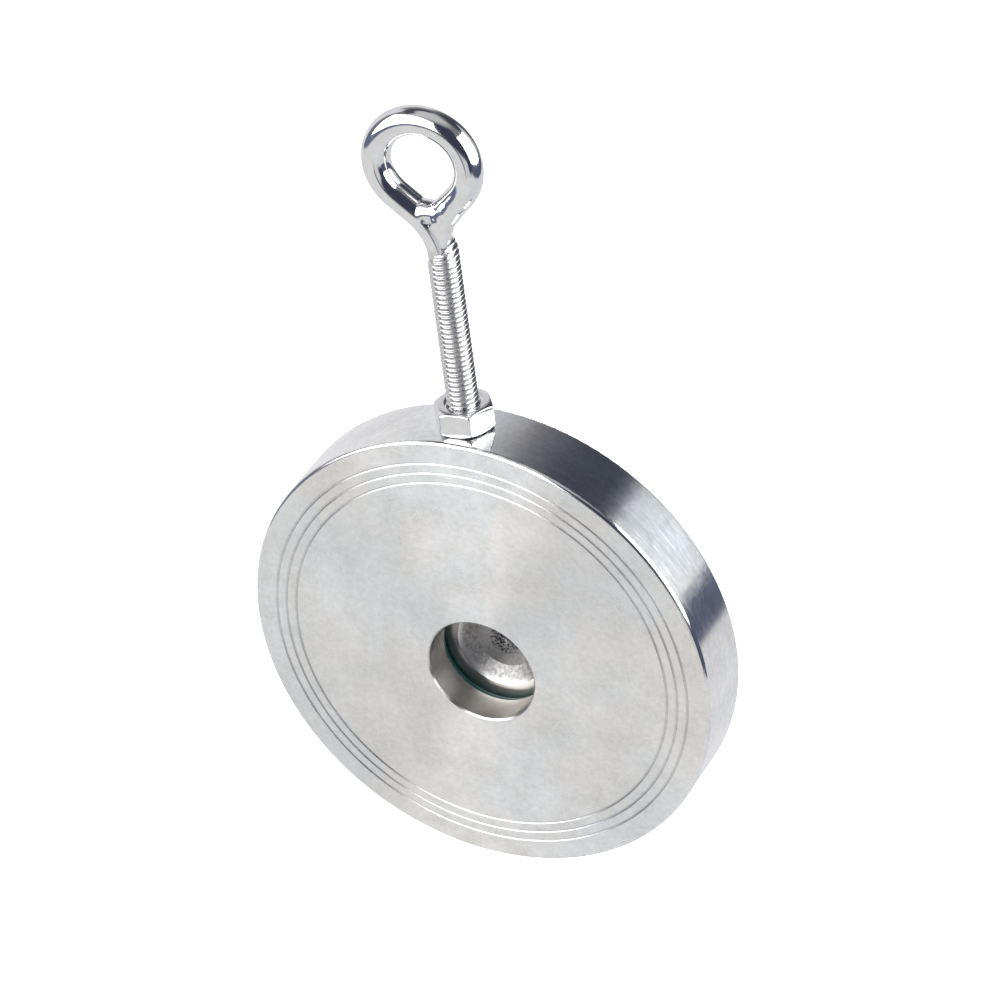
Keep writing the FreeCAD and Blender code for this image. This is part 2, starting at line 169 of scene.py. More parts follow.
# Walls and gaps that the metal reflects: name, azimuth and its half width, lowest and
# highest elevation, edge softness in degrees, and radiance.  Azimuth is 0 along +Y
# and 90 along +X.
STUDIO_WALLS = (
    ("ceiling_gap", -60, 66, 52, 72, 8, (0.10, 0.10, 0.115)),
    ("back_wall", -35, 26, -26, 38, 12, (0.93, 0.93, 0.96)),
    ("side_wall", -74, 15, -20, 52, 10, (0.98, 0.96, 1.02)),
    ("left_gloom", -100, 12, -16, 58, 5, (0.22, 0.22, 0.24)),
    ("right_gloom", 36, 34, -8, 62, 30, (0.070, 0.076, 0.100)),
    ("front_table", -150, 60, -95, -14, 8, (0.93, 0.93, 0.925)),
    ("camera_side", 150, 32, -28, 46, 8, (0.050, 0.058, 0.095)),
    ("front_card", 161, 14, -30, -13, 6, (0.80, 0.80, 0.81)),
    ("rear_card", 38, 15, -12, 26.8, 2.0, (0.70, 0.72, 0.75)),
    ("left_gap", -128, 38, -15, 1, 4, (0.16, 0.19, 0.28)),
)

# Soft boxes: azimuth and elevation of the middle, distance, width, height, radiance, tint.
SOFT_BOXES = (
    ("softbox_left", -148, 26, 0.60, 0.82, 0.62, 4.4, (1.0, 1.0, 1.0)),
    ("softbox_right", 86, 9, 0.42, 0.60, 0.37, 6.0, (0.965, 0.985, 1.0)),
)
SOFT_BOX_AIM = Vector((0.0, 0.007, 0.100))

# Dark flag that hangs below the right soft box.
FLAG_AZIMUTH = 86
FLAG_DISTANCE = 0.42
FLAG_SIDE_SHIFT = -0.40
FLAG_WIDTH = 1.40
FLAG_TOP = -0.018
FLAG_BOTTOM = -0.20
FLAG_RADIANCE = (0.10, 0.12, 0.19)


def make_world():
    """Surroundings of the soft boxes: pale table and walls, with dark gaps between."""
    world = bpy.data.worlds.new("studio")
    bpy.context.scene.world = world
    world.use_nodes = True
    tree = NodeTree(world.node_tree)
    direction = tree.node("ShaderNodeTexCoord").outputs["Generated"]
    height = tree.math("DEGREES", tree.math("ARCSINE", tree.split(direction)[2]))

    colour = tree.mix(tree.ramp(height, *TABLE_EDGE), (*TABLE, 1), (*GLOOM, 1))
    colour = tree.mix(tree.ramp(height, *CEILING_EDGE), colour, (*CEILING, 1))
    for _, azimuth, half_width, low, high, softness, wall in STUDIO_WALLS:
        turned = tree.node(
            "ShaderNodeVectorRotate",
            {"Vector": direction, "Angle": math.radians(azimuth)},
            rotation_type="Z_AXIS",
        ).outputs[0]
        x, y, _ = tree.split(turned)
        across = tree.math("ABSOLUTE", tree.math("DEGREES", tree.math("ARCTAN2", x, y)))
        inside = tree.ramp(across, half_width + softness / 2, half_width - softness / 2)
        above = tree.ramp(height, low - softness / 2, low + softness / 2)
        below = tree.ramp(height, high + softness / 2, high - softness / 2)
        mask = tree.times(tree.times(inside, above), below)
        colour = tree.mix(mask, colour, (*wall, 1))

    seen = tree.node("ShaderNodeLightPath").outputs["Is Camera Ray"]
    colour = tree.mix(seen, colour, (*BACKGROUND, 1))
    shader = tree.node("ShaderNodeBackground", {"Color": colour})
    output = tree.node("ShaderNodeOutputWorld")
    tree.tree.links.new(shader.outputs[0], output.inputs[0])


def make_soft_boxes():
    """Rectangular lights that face the valve."""
    for name, azimuth, elevation, distance, width, height, radiance, tint in SOFT_BOXES:
        data = bpy.data.lights.new(name, "AREA")
        data.shape = "RECTANGLE"
        data.size = width
        data.size_y = height
        data.energy = radiance * math.pi * width * height
        data.color = tint
        light = bpy.data.objects.new(name, data)
        turn = Euler((0, 0, -math.radians(azimuth))).to_matrix()
        tilt = Euler((math.radians(elevation), 0, 0)).to_matrix()
        light.location = SOFT_BOX_AIM + turn @ tilt @ Vector((0, distance, 0))
        face = Euler((math.radians(-90), 0, 0)).to_matrix()
        light.rotation_euler = (turn @ tilt @ face).to_euler()
        light.visible_camera = False
        bpy.context.scene.collection.objects.link(light)


def make_flag():
    """Dark panel that only the reflections see."""
    turn = Euler((0, 0, -math.radians(FLAG_AZIMUTH))).to_matrix()
    corners = []
    for side, height in ((-1, FLAG_BOTTOM), (1, FLAG_BOTTOM), (1, FLAG_TOP), (-1, FLAG_TOP)):
        across = FLAG_SIDE_SHIFT + side * FLAG_WIDTH / 2
        corners.append(turn @ Vector((across, FLAG_DISTANCE, height)))
    mesh = bpy.data.meshes.new("flag")
    mesh.from_pydata(corners, [], [(0, 1, 2, 3)])
    flag = bpy.data.objects.new("flag", mesh)
    flag.visible_camera = False
    flag.visible_shadow = False
    flag.visible_diffuse = False
    bpy.context.scene.collection.objects.link(flag)
    material, tree = new_material("flag_cloth")
    close_material(tree, tree.node("ShaderNodeEmission", {"Color": (*FLAG_RADIANCE, 1)}))
    mesh.materials.append(material)


FLOOR_RADIUS = 3.0
FLOOR_SIDES = 128
FLOOR_GRAIN = (400.0, 4.0)
FLOOR_DARK = (0.84, 0.84, 0.84, 1)
FLOOR_LIGHT = (0.88, 0.88, 0.88, 1)
FLOOR_ROUGHNESS = 0.9
FLOOR_GLOW = 0.80


def make_floor():
    """Plain pale table top under the rim of the valve."""
    bpy.ops.mesh.primitive_circle_add(
        vertices=FLOOR_SIDES, radius=FLOOR_RADIUS, fill_type="NGON", location=(0, 0, cad_low.z)
    )
    floor = bpy.context.object
    floor.name = "floor"
    floor.visible_glossy = False
    material, tree = new_material("floor_paper")
    place = tree.node("ShaderNodeTexCoord").outputs["Object"]
    grain = tree.noise(place, *FLOOR_GRAIN)
    shader = tree.node(
        "ShaderNodeBsdfPrincipled",
        {
            "Base Color": tree.mix(grain, FLOOR_DARK, FLOOR_LIGHT),
            "Roughness": FLOOR_ROUGHNESS,
            "Emission Color": (1.0, 1.0, 1.0, 1),
            "Emission Strength": FLOOR_GLOW,
        },
    )
    close_material(tree, shader)
    floor.data.materials.append(material)


# ---------------------------------------------------------------- materials

# A noise is given by its scale, detail and roughness; turned marks by their frequency
# across the tool's path and their wander along it.  A window holds the two values
# between which a mask rises, and where needed its lowest and highest strength.


def new_material(name):
    """A cleared material and its node tree."""
    material = bpy.data.materials.new(name)
    material.use_nodes = True
    return material, NodeTree(material.node_tree)


def close_material(tree, shader):
    """Joins a shader to the material's output."""
    output = tree.node("ShaderNodeOutputMaterial")
    tree.tree.links.new(shader.outputs[0], output.inputs[0])


def from_axis(tree, place, axis_z=0.0):
    """Height above, and distance from, an axis along the flow."""
    x, _, z = tree.split(place)
    height = tree.math("SUBTRACT", z, axis_z)
    flat = tree.vector(x, 0.0, height)
    radius = tree.node("ShaderNodeVectorMath", {0: flat}, operation="LENGTH").outputs["Value"]
    return height, radius


MARK_DETAIL = 3.0
MARK_UNEVENNESS = 0.6


def turned_marks(tree, place, axis_z, frequency, wander):
    """Noise drawn out into circles about an axis along the flow, as a lathe tool leaves it."""
    x, y, _ = tree.split(place)
    height, radius = from_axis(tree, place, axis_z)
    drawn = tree.vector(
        tree.times(tree.math("DIVIDE", x, radius), wander),
        tree.times(tree.math("DIVIDE", height, radius), wander),
        tree.times(tree.plus(radius, y), frequency),
    )
    return tree.noise(drawn, 1.0, MARK_DETAIL, MARK_UNEVENNESS)


BODY_RADIUS = 0.046
BODY_THICKNESS = 0.014
EDGE_ROUNDING = 0.0008
EDGE_FADE = 0.00001
RIM_WINDOW = (BODY_RADIUS - EDGE_ROUNDING, BODY_RADIUS - EDGE_ROUNDING / 2)
BORE_AXIS_Z = -0.0035
BORE_WINDOW = (0.0109, 0.0107)

GROOVE_RADIUS = 0.0375
GROOVE_SPACING = 0.002
GROOVE_COUNT = 3
GROOVE_HALF_WIDTH = 0.00025
GROOVE_SOFTNESS = 1.3
GROOVE_ZONE_MARGIN = 0.0007
GROOVE_ZONE_FADE = 0.0001

BODY_FINE_MARKS = (9000.0, 3.0)
BODY_COARSE_MARKS = (3400.0, 5.0)
BODY_SCRATCHES = (5600.0, 7.0)
BODY_SCUFFS = (1100.0, 9.0)
BODY_CLOUD = (90.0, 7.0, 0.68)
BODY_GRAIN = (900.0, 4.0, 0.7)
BODY_STAIN = (150.0, 6.0, 0.75)
BODY_WARMTH = (38.0, 4.0, 0.55)

CLOUD_WINDOW = (0.30, 0.70, 0.0, 0.62)
GRAIN_WINDOW = (0.3, 0.7, 0.0, 0.38)
WARMTH_WINDOW = (0.36, 0.64)
STAIN_WINDOW = (0.62, 0.78, 0.0, 0.42)
SCUFF_WINDOW = (0.55, 0.80, 0.0, 0.30)
DARK_LINE_WINDOW = (0.56, 0.74, 0.0, 0.34)
DARK_LINE_ON_FACE = 0.35
LIGHT_LINE_WINDOW = (0.62, 0.74)
LIGHT_LINE_ON_FACE = 0.5
LIGHT_LINE_ON_RIM = 0.25

BODY_DARK = (0.615, 0.614, 0.614, 1)
BODY_LIGHT = (0.825, 0.824, 0.824, 1)
COOL_TINT = (0.978, 1.0, 1.016, 1)
WARM_TINT = (1.022, 1.0, 0.972, 1)
STAIN_COLOUR = (0.53, 0.515, 0.49, 1)
# Painted shade in the gasket grooves.
GROOVE_SHADE = (0.86, 0.86, 0.86, 1)
SCUFF_COLOUR = (0.58, 0.575, 0.565, 1)
# Painted shade inside the bore, with a warm cast.
BORE_SHADE = (0.74, 0.715, 0.69, 1)
DARK_LINE_COLOUR = (0.44, 0.44, 0.45, 1)
LIGHT_LINE_COLOUR = (0.90, 0.90, 0.90, 1)

FACE_ROUGHNESS = 0.29
FACE_ROUGHNESS_WINDOW = (0.25, 0.75, FACE_ROUGHNESS * 0.88, FACE_ROUGHNESS * 1.12)
RIM_ROUGHNESS = 0.125
RIM_ROUGHNESS_WINDOW = (0.3, 0.7, RIM_ROUGHNESS * 0.86, RIM_ROUGHNESS * 1.14)
SCRATCH_ROUGHNESS_WINDOW = (0.55, 0.75, 0.0, 0.10)
GROOVE_ROUGHNESS = 0.08
MARK_HEIGHT_ON_FACE = 0.08
MARK_HEIGHT_ON_RIM = 0.01
BODY_MARK_DEPTH = 0.00002
BODY_ANISOTROPY = 0.85
BODY_ANISOTROPY_TURN = 0.25


def rounded_edge_normal(tree, place):
    """Normal of the true rounding on the outer edges, and the surface's own elsewhere."""
    x, y, z = tree.split(place)
    _, radius = from_axis(tree, place)
    outward = tree.math("SUBTRACT", radius, BODY_RADIUS - EDGE_ROUNDING)
    below = tree.math("MINIMUM", tree.math("SUBTRACT", y, EDGE_ROUNDING), 0.0)
    above = tree.math("SUBTRACT", y, BODY_THICKNESS - EDGE_ROUNDING)
    along = tree.plus(below, tree.math("MAXIMUM", above, 0.0))
    share = tree.math("DIVIDE", outward, radius)
    rounded = tree.vector(tree.times(x, share), along, tree.times(z, share))
    rounded = tree.node("ShaderNodeVectorMath", {0: rounded}, operation="NORMALIZE").outputs[0]
    rounded = tree.node(
        "ShaderNodeVectorTransform",
        {0: rounded},
        vector_type="NORMAL",
        convert_from="OBJECT",
        convert_to="WORLD",
    ).outputs[0]
    own = tree.node("ShaderNodeNewGeometry").outputs["Normal"]
    on_edge = tree.times(
        tree.ramp(outward, 0.0, EDGE_FADE),
        tree.ramp(tree.math("ABSOLUTE", along), 0.0, EDGE_FADE),
    )
    mixed = tree.node("ShaderNodeMix", {0: on_edge, 4: own, 5: rounded}, data_type="VECTOR")
    return mixed.outputs[1]


def groove_mask(tree, radius):
    """One inside the gasket grooves and zero elsewhere."""
    from_first = tree.math("SUBTRACT", radius, GROOVE_RADIUS)
    from_nearest = tree.math("PINGPONG", from_first, GROOVE_SPACING / 2)
    inside = tree.ramp(from_nearest, GROOVE_HALF_WIDTH * GROOVE_SOFTNESS, GROOVE_HALF_WIDTH)
    low = GROOVE_RADIUS - GROOVE_ZONE_MARGIN
    high = GROOVE_RADIUS + (GROOVE_COUNT - 1) * GROOVE_SPACING + GROOVE_ZONE_MARGIN
    zone = tree.times(
        tree.ramp(radius, low, low + GROOVE_ZONE_FADE),
        tree.ramp(radius, high, high - GROOVE_ZONE_FADE),
    )
    return tree.times(inside, zone)


def body_colour(tree, place, cloud, in_groove, on_rim, dark_marks, light_marks):
    """Cloudy steel with stains, scuffs and lines, and painted shade that darkens the grooves and
    the bore.
    """
    grain = tree.noise(place, *BODY_GRAIN)
    shade = tree.plus(tree.ramp(cloud, *CLOUD_WINDOW), tree.ramp(grain, *GRAIN_WINDOW))
    warmth = tree.ramp(tree.noise(place, *BODY_WARMTH), *WARMTH_WINDOW)
    colour = tree.mix(shade, BODY_DARK, BODY_LIGHT)
    colour = tree.multiply(colour, tree.mix(warmth, COOL_TINT, WARM_TINT))
    stain = tree.ramp(tree.noise(place, *BODY_STAIN), *STAIN_WINDOW)
    colour = tree.mix(stain, colour, STAIN_COLOUR)
    # Painted shade: the gasket grooves are darkened where shade falls in them.
    colour = tree.mix(in_groove, colour, tree.multiply(colour, GROOVE_SHADE))
    scuff = tree.ramp(turned_marks(tree, place, BORE_AXIS_Z, *BODY_SCUFFS), *SCUFF_WINDOW)
    colour = tree.mix(scuff, colour, SCUFF_COLOUR)
    _, bore_radius = from_axis(tree, place, BORE_AXIS_Z)
    in_bore = tree.ramp(bore_radius, *BORE_WINDOW)
    # Painted shade: the bore wall is darkened, with a warm cast, where shade falls inside the hole.
    colour = tree.mix(in_bore, colour, tree.multiply(colour, BORE_SHADE))
    strength = tree.ramp(on_rim, 0.0, 1.0, DARK_LINE_ON_FACE, 1.0)
    dark_line = tree.times(tree.ramp(dark_marks, *DARK_LINE_WINDOW), strength)
    colour = tree.mix(dark_line, colour, DARK_LINE_COLOUR)
    strength = tree.ramp(on_rim, 0.0, 1.0, LIGHT_LINE_ON_FACE, LIGHT_LINE_ON_RIM)
    light_line = tree.times(tree.ramp(light_marks, *LIGHT_LINE_WINDOW), strength)
    return tree.mix(light_line, colour, LIGHT_LINE_COLOUR)


def make_body_steel():
    """Turned stainless steel: fine circular tool marks, cloudy sheen, stains and scuffs."""
    material, tree = new_material("turned_steel")
    place = tree.node("ShaderNodeTexCoord").outputs["Object"]
    _, radius = from_axis(tree, place)
    fine = turned_marks(tree, place, 0.0, *BODY_FINE_MARKS)
    coarse = turned_marks(tree, place, 0.0, *BODY_COARSE_MARKS)
    scratch = turned_marks(tree, place, 0.0, *BODY_SCRATCHES)
    cloud = tree.noise(place, *BODY_CLOUD)
    on_rim = tree.ramp(radius, *RIM_WINDOW)
    in_groove = groove_mask(tree, radius)

    face_rough = tree.ramp(cloud, *FACE_ROUGHNESS_WINDOW)
    rim_rough = tree.ramp(coarse, *RIM_ROUGHNESS_WINDOW)
    rim_rough = tree.plus(rim_rough, tree.ramp(scratch, *SCRATCH_ROUGHNESS_WINDOW))
    roughness = tree.node(
        "ShaderNodeMix", {0: on_rim, 2: face_rough, 3: rim_rough}, data_type="FLOAT"
    ).outputs[0]
    roughness = tree.plus(roughness, tree.times(in_groove, GROOVE_ROUGHNESS))
    mark_height = tree.ramp(on_rim, 0.0, 1.0, MARK_HEIGHT_ON_FACE, MARK_HEIGHT_ON_RIM)
    normal = tree.bump(fine, mark_height, BODY_MARK_DEPTH, rounded_edge_normal(tree, place))
    shader = tree.node(
        "ShaderNodeBsdfPrincipled",
        {
            "Base Color": body_colour(tree, place, cloud, in_groove, on_rim, coarse, scratch),
            "Metallic": 1.0,
            "Roughness": roughness,
            "Anisotropic": BODY_ANISOTROPY,
            "Anisotropic Rotation": BODY_ANISOTROPY_TURN,
            "Tangent": tree.node("ShaderNodeTangent", direction_type="RADIAL", axis="Y").outputs[0],
            "Normal": normal,
        },
    )
    close_material(tree, shader)
    return material


INLET_SIDE_WINDOW = (0.0112, 0.0110)
DISH_WINDOW = (0.0087, 0.0074)
DISH_FLOOR_WINDOW = (0.0060, 0.0053)
PIT_ZONE_WINDOW = (0.0034, 0.0026)
PIT_WINDOW = (0.54, 0.44)
MOTTLE_WINDOW = (0.35, 0.65)
FLOOR_MOTTLE_WINDOW = (0.3, 0.7)
BACK_MARK_WINDOW = (0.40, 0.66, 0.0, 0.55)
BACK_CLOUD_WINDOW = (0.35, 0.65, 0.0, 0.45)

FLAP_MARKS = (5200.0, 3.0)
FLAP_MOTTLE = (1500.0, 4.0, 0.65)
FLAP_PITS = (2600.0, 3.0, 0.7)
FLAP_CLOUD = (260.0, 5.0, 0.65)

SEAT_BAND_COLOUR = (0.58, 0.57, 0.555, 1)
# Painted shade: the dish's cone and floor are painted darker than the seat band, where shade falls
# in the recess.
DISH_SHADE_DARK = (0.25, 0.245, 0.24, 1)
DISH_SHADE_LIGHT = (0.44, 0.43, 0.43, 1)
DISH_FLOOR_SHADE_DARK = (0.27, 0.265, 0.27, 1)
DISH_FLOOR_SHADE_LIGHT = (0.36, 0.355, 0.355, 1)
PIT_COLOUR = (0.035, 0.035, 0.04, 1)
WORN_BACK_COLOUR = (0.43, 0.425, 0.415, 1)

SEAT_BAND_ROUGHNESS = 0.29
DISH_ROUGHNESS = 0.21
BACK_ROUGHNESS = 0.08
FLAP_MARK_SHARE = 0.4
FLAP_BUMP = 0.05
DISH_BUMP = 0.5
BACK_BUMP = 0.06
FLAP_BUMP_DEPTH = 0.00008


def make_flap_steel():
    """Flap: smooth seat band, mottled cone, rough pitted dish bottom and a turned back, with
    painted shade darkening the dish.
    """
    material, tree = new_material("machined_steel")
    place = tree.node("ShaderNodeTexCoord").outputs["Object"]
    _, radius = from_axis(tree, place, BORE_AXIS_Z)
    marks = turned_marks(tree, place, BORE_AXIS_Z, *FLAP_MARKS)
    mottle = tree.noise(place, *FLAP_MOTTLE)
    pits = tree.noise(place, *FLAP_PITS)
    cloud = tree.noise(place, *FLAP_CLOUD)
    inlet_side = tree.ramp(tree.split(place)[1], *INLET_SIDE_WINDOW)
    on_back = tree.math("SUBTRACT", 1.0, inlet_side)
    in_dish = tree.times(tree.ramp(radius, *DISH_WINDOW), inlet_side)
    in_floor = tree.times(tree.ramp(radius, *DISH_FLOOR_WINDOW), inlet_side)
    pitted = tree.times(tree.ramp(radius, *PIT_ZONE_WINDOW), tree.ramp(pits, *PIT_WINDOW))

    # Painted shade in the dish, mottled between two shades.
    cone = tree.mix(tree.ramp(mottle, *MOTTLE_WINDOW), DISH_SHADE_DARK, DISH_SHADE_LIGHT)
    floor_shade = tree.ramp(mottle, *FLOOR_MOTTLE_WINDOW)
    floor = tree.mix(floor_shade, DISH_FLOOR_SHADE_DARK, DISH_FLOOR_SHADE_LIGHT)
    floor = tree.mix(pitted, floor, PIT_COLOUR)
    colour = tree.mix(in_dish, SEAT_BAND_COLOUR, cone)
    colour = tree.mix(in_floor, colour, floor)
    worn = tree.plus(tree.ramp(marks, *BACK_MARK_WINDOW), tree.ramp(cloud, *BACK_CLOUD_WINDOW))
    colour = tree.mix(tree.times(worn, on_back), colour, WORN_BACK_COLOUR)

    roughness = tree.plus(tree.times(in_dish, DISH_ROUGHNESS), SEAT_BAND_ROUGHNESS)
    on_back_cloud = tree.times(tree.times(cloud, on_back), BACK_ROUGHNESS)
    roughness = tree.plus(roughness, on_back_cloud)
    height = tree.plus(tree.times(marks, FLAP_MARK_SHARE), mottle)
    strength = tree.plus(tree.times(in_dish, DISH_BUMP), FLAP_BUMP)
    strength = tree.plus(strength, tree.times(on_back, BACK_BUMP))
    shader = tree.node(
        "ShaderNodeBsdfPrincipled",
        {
            "Base Color": colour,
            "Metallic": 1.0,
            "Roughness": roughness,
            "Normal": tree.bump(height, strength, FLAP_BUMP_DEPTH),
        },
    )
    close_material(tree, shader)
    return material


THREAD_WINDOW = (0.0845, 0.0815)
ABOVE_NUT_WINDOW = (0.0505, 0.0515)
WIRE_CLOUD = (420.0, 5.0, 0.6)
WIRE_CLOUD_WINDOW = (0.3, 0.7)
WIRE_DARK = (0.655, 0.655, 0.66, 1)
WIRE_LIGHT = (0.72, 0.72, 0.725, 1)
THREAD_TINT = (0.86, 0.855, 0.85, 1)
WIRE_ROUGHNESS_WINDOW = (0.25, 0.75, 0.075, 0.125)
THREAD_ROUGHNESS = 0.16
WIRE_RIPPLE = (900.0, 3.0)
WIRE_BUMP = 0.06
WIRE_BUMP_DEPTH = 0.00005


def make_polished_steel():
    """Bright polished wire and nut, duller and greyer along the thread."""
    material, tree = new_material("polished_steel")
    place = tree.node("ShaderNodeTexCoord").outputs["Object"]
    height = tree.split(place)[2]
    on_thread = tree.ramp(height, *THREAD_WINDOW)
    on_thread = tree.times(on_thread, tree.ramp(height, *ABOVE_NUT_WINDOW))
    cloud = tree.noise(place, *WIRE_CLOUD)
    colour = tree.mix(tree.ramp(cloud, *WIRE_CLOUD_WINDOW), WIRE_DARK, WIRE_LIGHT)
    colour = tree.mix(on_thread, colour, tree.multiply(colour, THREAD_TINT))
    bright = tree.ramp(cloud, *WIRE_ROUGHNESS_WINDOW)
    ripple = tree.noise(place, *WIRE_RIPPLE)
    shader = tree.node(
        "ShaderNodeBsdfPrincipled",
        {
            "Base Color": colour,
            "Metallic": 1.0,
            "Roughness": tree.plus(bright, tree.times(on_thread, THREAD_ROUGHNESS)),
            "Normal": tree.bump(ripple, WIRE_BUMP, WIRE_BUMP_DEPTH),
        },
    )
    close_material(tree, shader)
    return material


MILLED_GRAIN = (400.0, 6000.0, 6000.0)
MILLED_DETAIL = 3.0
MILLED_CLOUD = (500.0, 4.0)
MILLED_BUMP = 0.15
MILLED_BUMP_DEPTH = 0.00003
ROUGHNESS_NOISE = (0.2, 0.8)

KEEPER_DARK = (0.60, 0.595, 0.59, 1)
KEEPER_LIGHT = (0.74, 0.735, 0.73, 1)
KEEPER_ROUGHNESS = (0.26, 0.36)
FASTENER_DARK = (0.30, 0.298, 0.295, 1)
FASTENER_LIGHT = (0.40, 0.395, 0.39, 1)
FASTENER_ROUGHNESS = (0.18, 0.28)


def make_milled_steel(name, dark, light, roughness):
    """Satin steel with a faint grain, between two shades."""
    material, tree = new_material(name)
    place = tree.node("ShaderNodeTexCoord").outputs["Object"]
    drawn = [tree.times(part, scale) for part, scale in zip(tree.split(place), MILLED_GRAIN)]
    lines = tree.noise(tree.vector(*drawn), 1.0, MILLED_DETAIL)
    cloud = tree.noise(place, *MILLED_CLOUD)
    shader = tree.node(
        "ShaderNodeBsdfPrincipled",
        {
            "Base Color": tree.mix(cloud, dark, light),
            "Metallic": 1.0,
            "Roughness": tree.ramp(cloud, *ROUGHNESS_NOISE, *roughness),
            "Normal": tree.bump(lines, MILLED_BUMP, MILLED_BUMP_DEPTH),
        },
    )
    close_material(tree, shader)
    return material


RUBBER_BLOOM = (900.0, 4.0)
RUBBER_GRAIN = (5000.0, 2.0)
RUBBER_DARK = (0.004, 0.055, 0.054, 1)
RUBBER_LIGHT = (0.008, 0.085, 0.082, 1)
RUBBER_ROUGHNESS = (0.3, 0.42)
RUBBER_BUMP = 0.1
RUBBER_BUMP_DEPTH = 0.00003


def make_rubber():
    """Dark green seal rubber with a faint bloom."""
    material, tree = new_material("green_rubber")
    place = tree.node("ShaderNodeTexCoord").outputs["Object"]
    bloom = tree.noise(place, *RUBBER_BLOOM)
    grain = tree.noise(place, *RUBBER_GRAIN)
    shader = tree.node(
        "ShaderNodeBsdfPrincipled",
        {
            "Base Color": tree.mix(bloom, RUBBER_DARK, RUBBER_LIGHT),
            "Roughness": tree.ramp(bloom, *ROUGHNESS_NOISE, *RUBBER_ROUGHNESS),
            "Normal": tree.bump(grain, RUBBER_BUMP, RUBBER_BUMP_DEPTH),
        },
    )
    close_material(tree, shader)
    return material


PLASTIC_CLOUD = (1200.0, 3.0)
PLASTIC_DARK = (0.80, 0.79, 0.75, 1)
PLASTIC_LIGHT = (0.88, 0.87, 0.83, 1)
PLASTIC_ROUGHNESS = (0.45, 0.6)


def make_washer_plastic():
    """White low-friction plastic of the thrust washers."""
    material, tree = new_material("white_plastic")
    place = tree.node("ShaderNodeTexCoord").outputs["Object"]
    cloud = tree.noise(place, *PLASTIC_CLOUD)
    shader = tree.node(
        "ShaderNodeBsdfPrincipled",
        {
            "Base Color": tree.mix(cloud, PLASTIC_DARK, PLASTIC_LIGHT),
            "Roughness": tree.ramp(cloud, *ROUGHNESS_NOISE, *PLASTIC_ROUGHNESS),
        },
    )
    close_material(tree, shader)
    return material


# ---------------------------------------------------------------- mesh helpers


def make_piece(name, points, faces, material):
    """Mesh object from points in millimetres, smooth shaded, that rides on the housing."""
    mesh = bpy.data.meshes.new(name)
    mesh.from_pydata((points * MM).tolist(), [], faces)
    mesh.shade_smooth()
    mesh.materials.append(material)
    piece = bpy.data.objects.new(name, mesh)
    bpy.context.scene.collection.objects.link(piece)
    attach(piece, "housing")
    return piece


def smooth_union(first, second, blend):
    """Union of two distance fields with a fillet where they meet."""
    share = np.clip(0.5 + 0.5 * (second - first) / blend, 0, 1)
    return second + (first - second) * share - blend * share * (1 - share)


def smooth_cut(first, second, blend):
    """Overlap of two distance fields with its edge rounded."""
    return -smooth_union(-first, -second, blend)


def distance_to_segment(points, start, end):
    """Distance to a straight line between two points."""
    start = np.asarray(start)
    along = np.asarray(end) - start
    share = np.clip((points - start) @ along / (along @ along), 0, 1)
    return np.linalg.norm(points - start - share[:, None] * along, axis=1)


def distance_to_arc(points, centre, radius, start, end):
    """Distance to a circular arc in the plane of the first and third axes, in degrees."""
    offset = points - np.asarray(centre)
    middle = (start + end) / 2
    angle = np.degrees(np.arctan2(offset[:, 2], offset[:, 0])) - middle
    angle = (angle + 180) % 360 - 180
    angle = np.clip(angle, (start - end) / 2, (end - start) / 2)
    nearest = np.radians(angle + middle)
    in_plane = np.hypot(
        offset[:, 0] - radius * np.cos(nearest), offset[:, 2] - radius * np.sin(nearest)
    )
    return np.hypot(in_plane, offset[:, 1])


NEWTON_STEPS = 4
SLOPE_STEP = 0.002
LEAST_STEEPNESS = 0.25


def surface_of(field, low, high, step):
    """Points and quads on the zero surface of a distance field within a box."""
    axes = [np.arange(a, b + step, step) for a, b in zip(low, high)]
    shape = tuple(len(axis) for axis in axes)
    grid = np.stack(np.meshgrid(*axes, indexing="ij"), axis=-1).reshape(-1, 3)
    inside = (field(grid) < 0).reshape(shape)

    corners = np.zeros(tuple(n - 1 for n in shape), int)
    for i in (0, 1):
        for j in (0, 1):
            for k in (0, 1):
                corners += inside[i : shape[0] - 1 + i, j : shape[1] - 1 + j, k : shape[2] - 1 + k]
    crossed = (corners > 0) & (corners < 8)
    number = np.full(crossed.shape, -1)
    number[crossed] = np.arange(crossed.sum())
    points = np.argwhere(crossed) * step + np.asarray(low) + step / 2

    for _ in range(NEWTON_STEPS):
        value = field(points)
        slope = np.empty_like(points)
        for axis in range(3):
            nudge = np.zeros(3)
            nudge[axis] = SLOPE_STEP
            slope[:, axis] = (field(points + nudge) - field(points - nudge)) / (2 * SLOPE_STEP)
        steep = np.maximum((slope**2).sum(axis=1), LEAST_STEEPNESS)
        move = np.clip(value / steep, -step, step)
        points = points - move[:, None] * slope

    faces = []
    for axis in range(3):
        first = np.roll(np.arange(3), -axis)
        turned = inside.transpose(first)
        cells = number.transpose(first)
        here = turned[:-1, 1:-1, 1:-1]
        there = turned[1:, 1:-1, 1:-1]
        quad = [cells[:, :-1, :-1], cells[:, 1:, :-1], cells[:, 1:, 1:], cells[:, :-1, 1:]]
        leaving = here & ~there
        entering = ~here & there
        faces.append(np.stack([part[leaving] for part in quad], axis=1))
        faces.append(np.stack([part[entering] for part in quad[::-1]], axis=1))
    return points, np.concatenate(faces)


# ---------------------------------------------------------------- lifting eyebolt, in mm

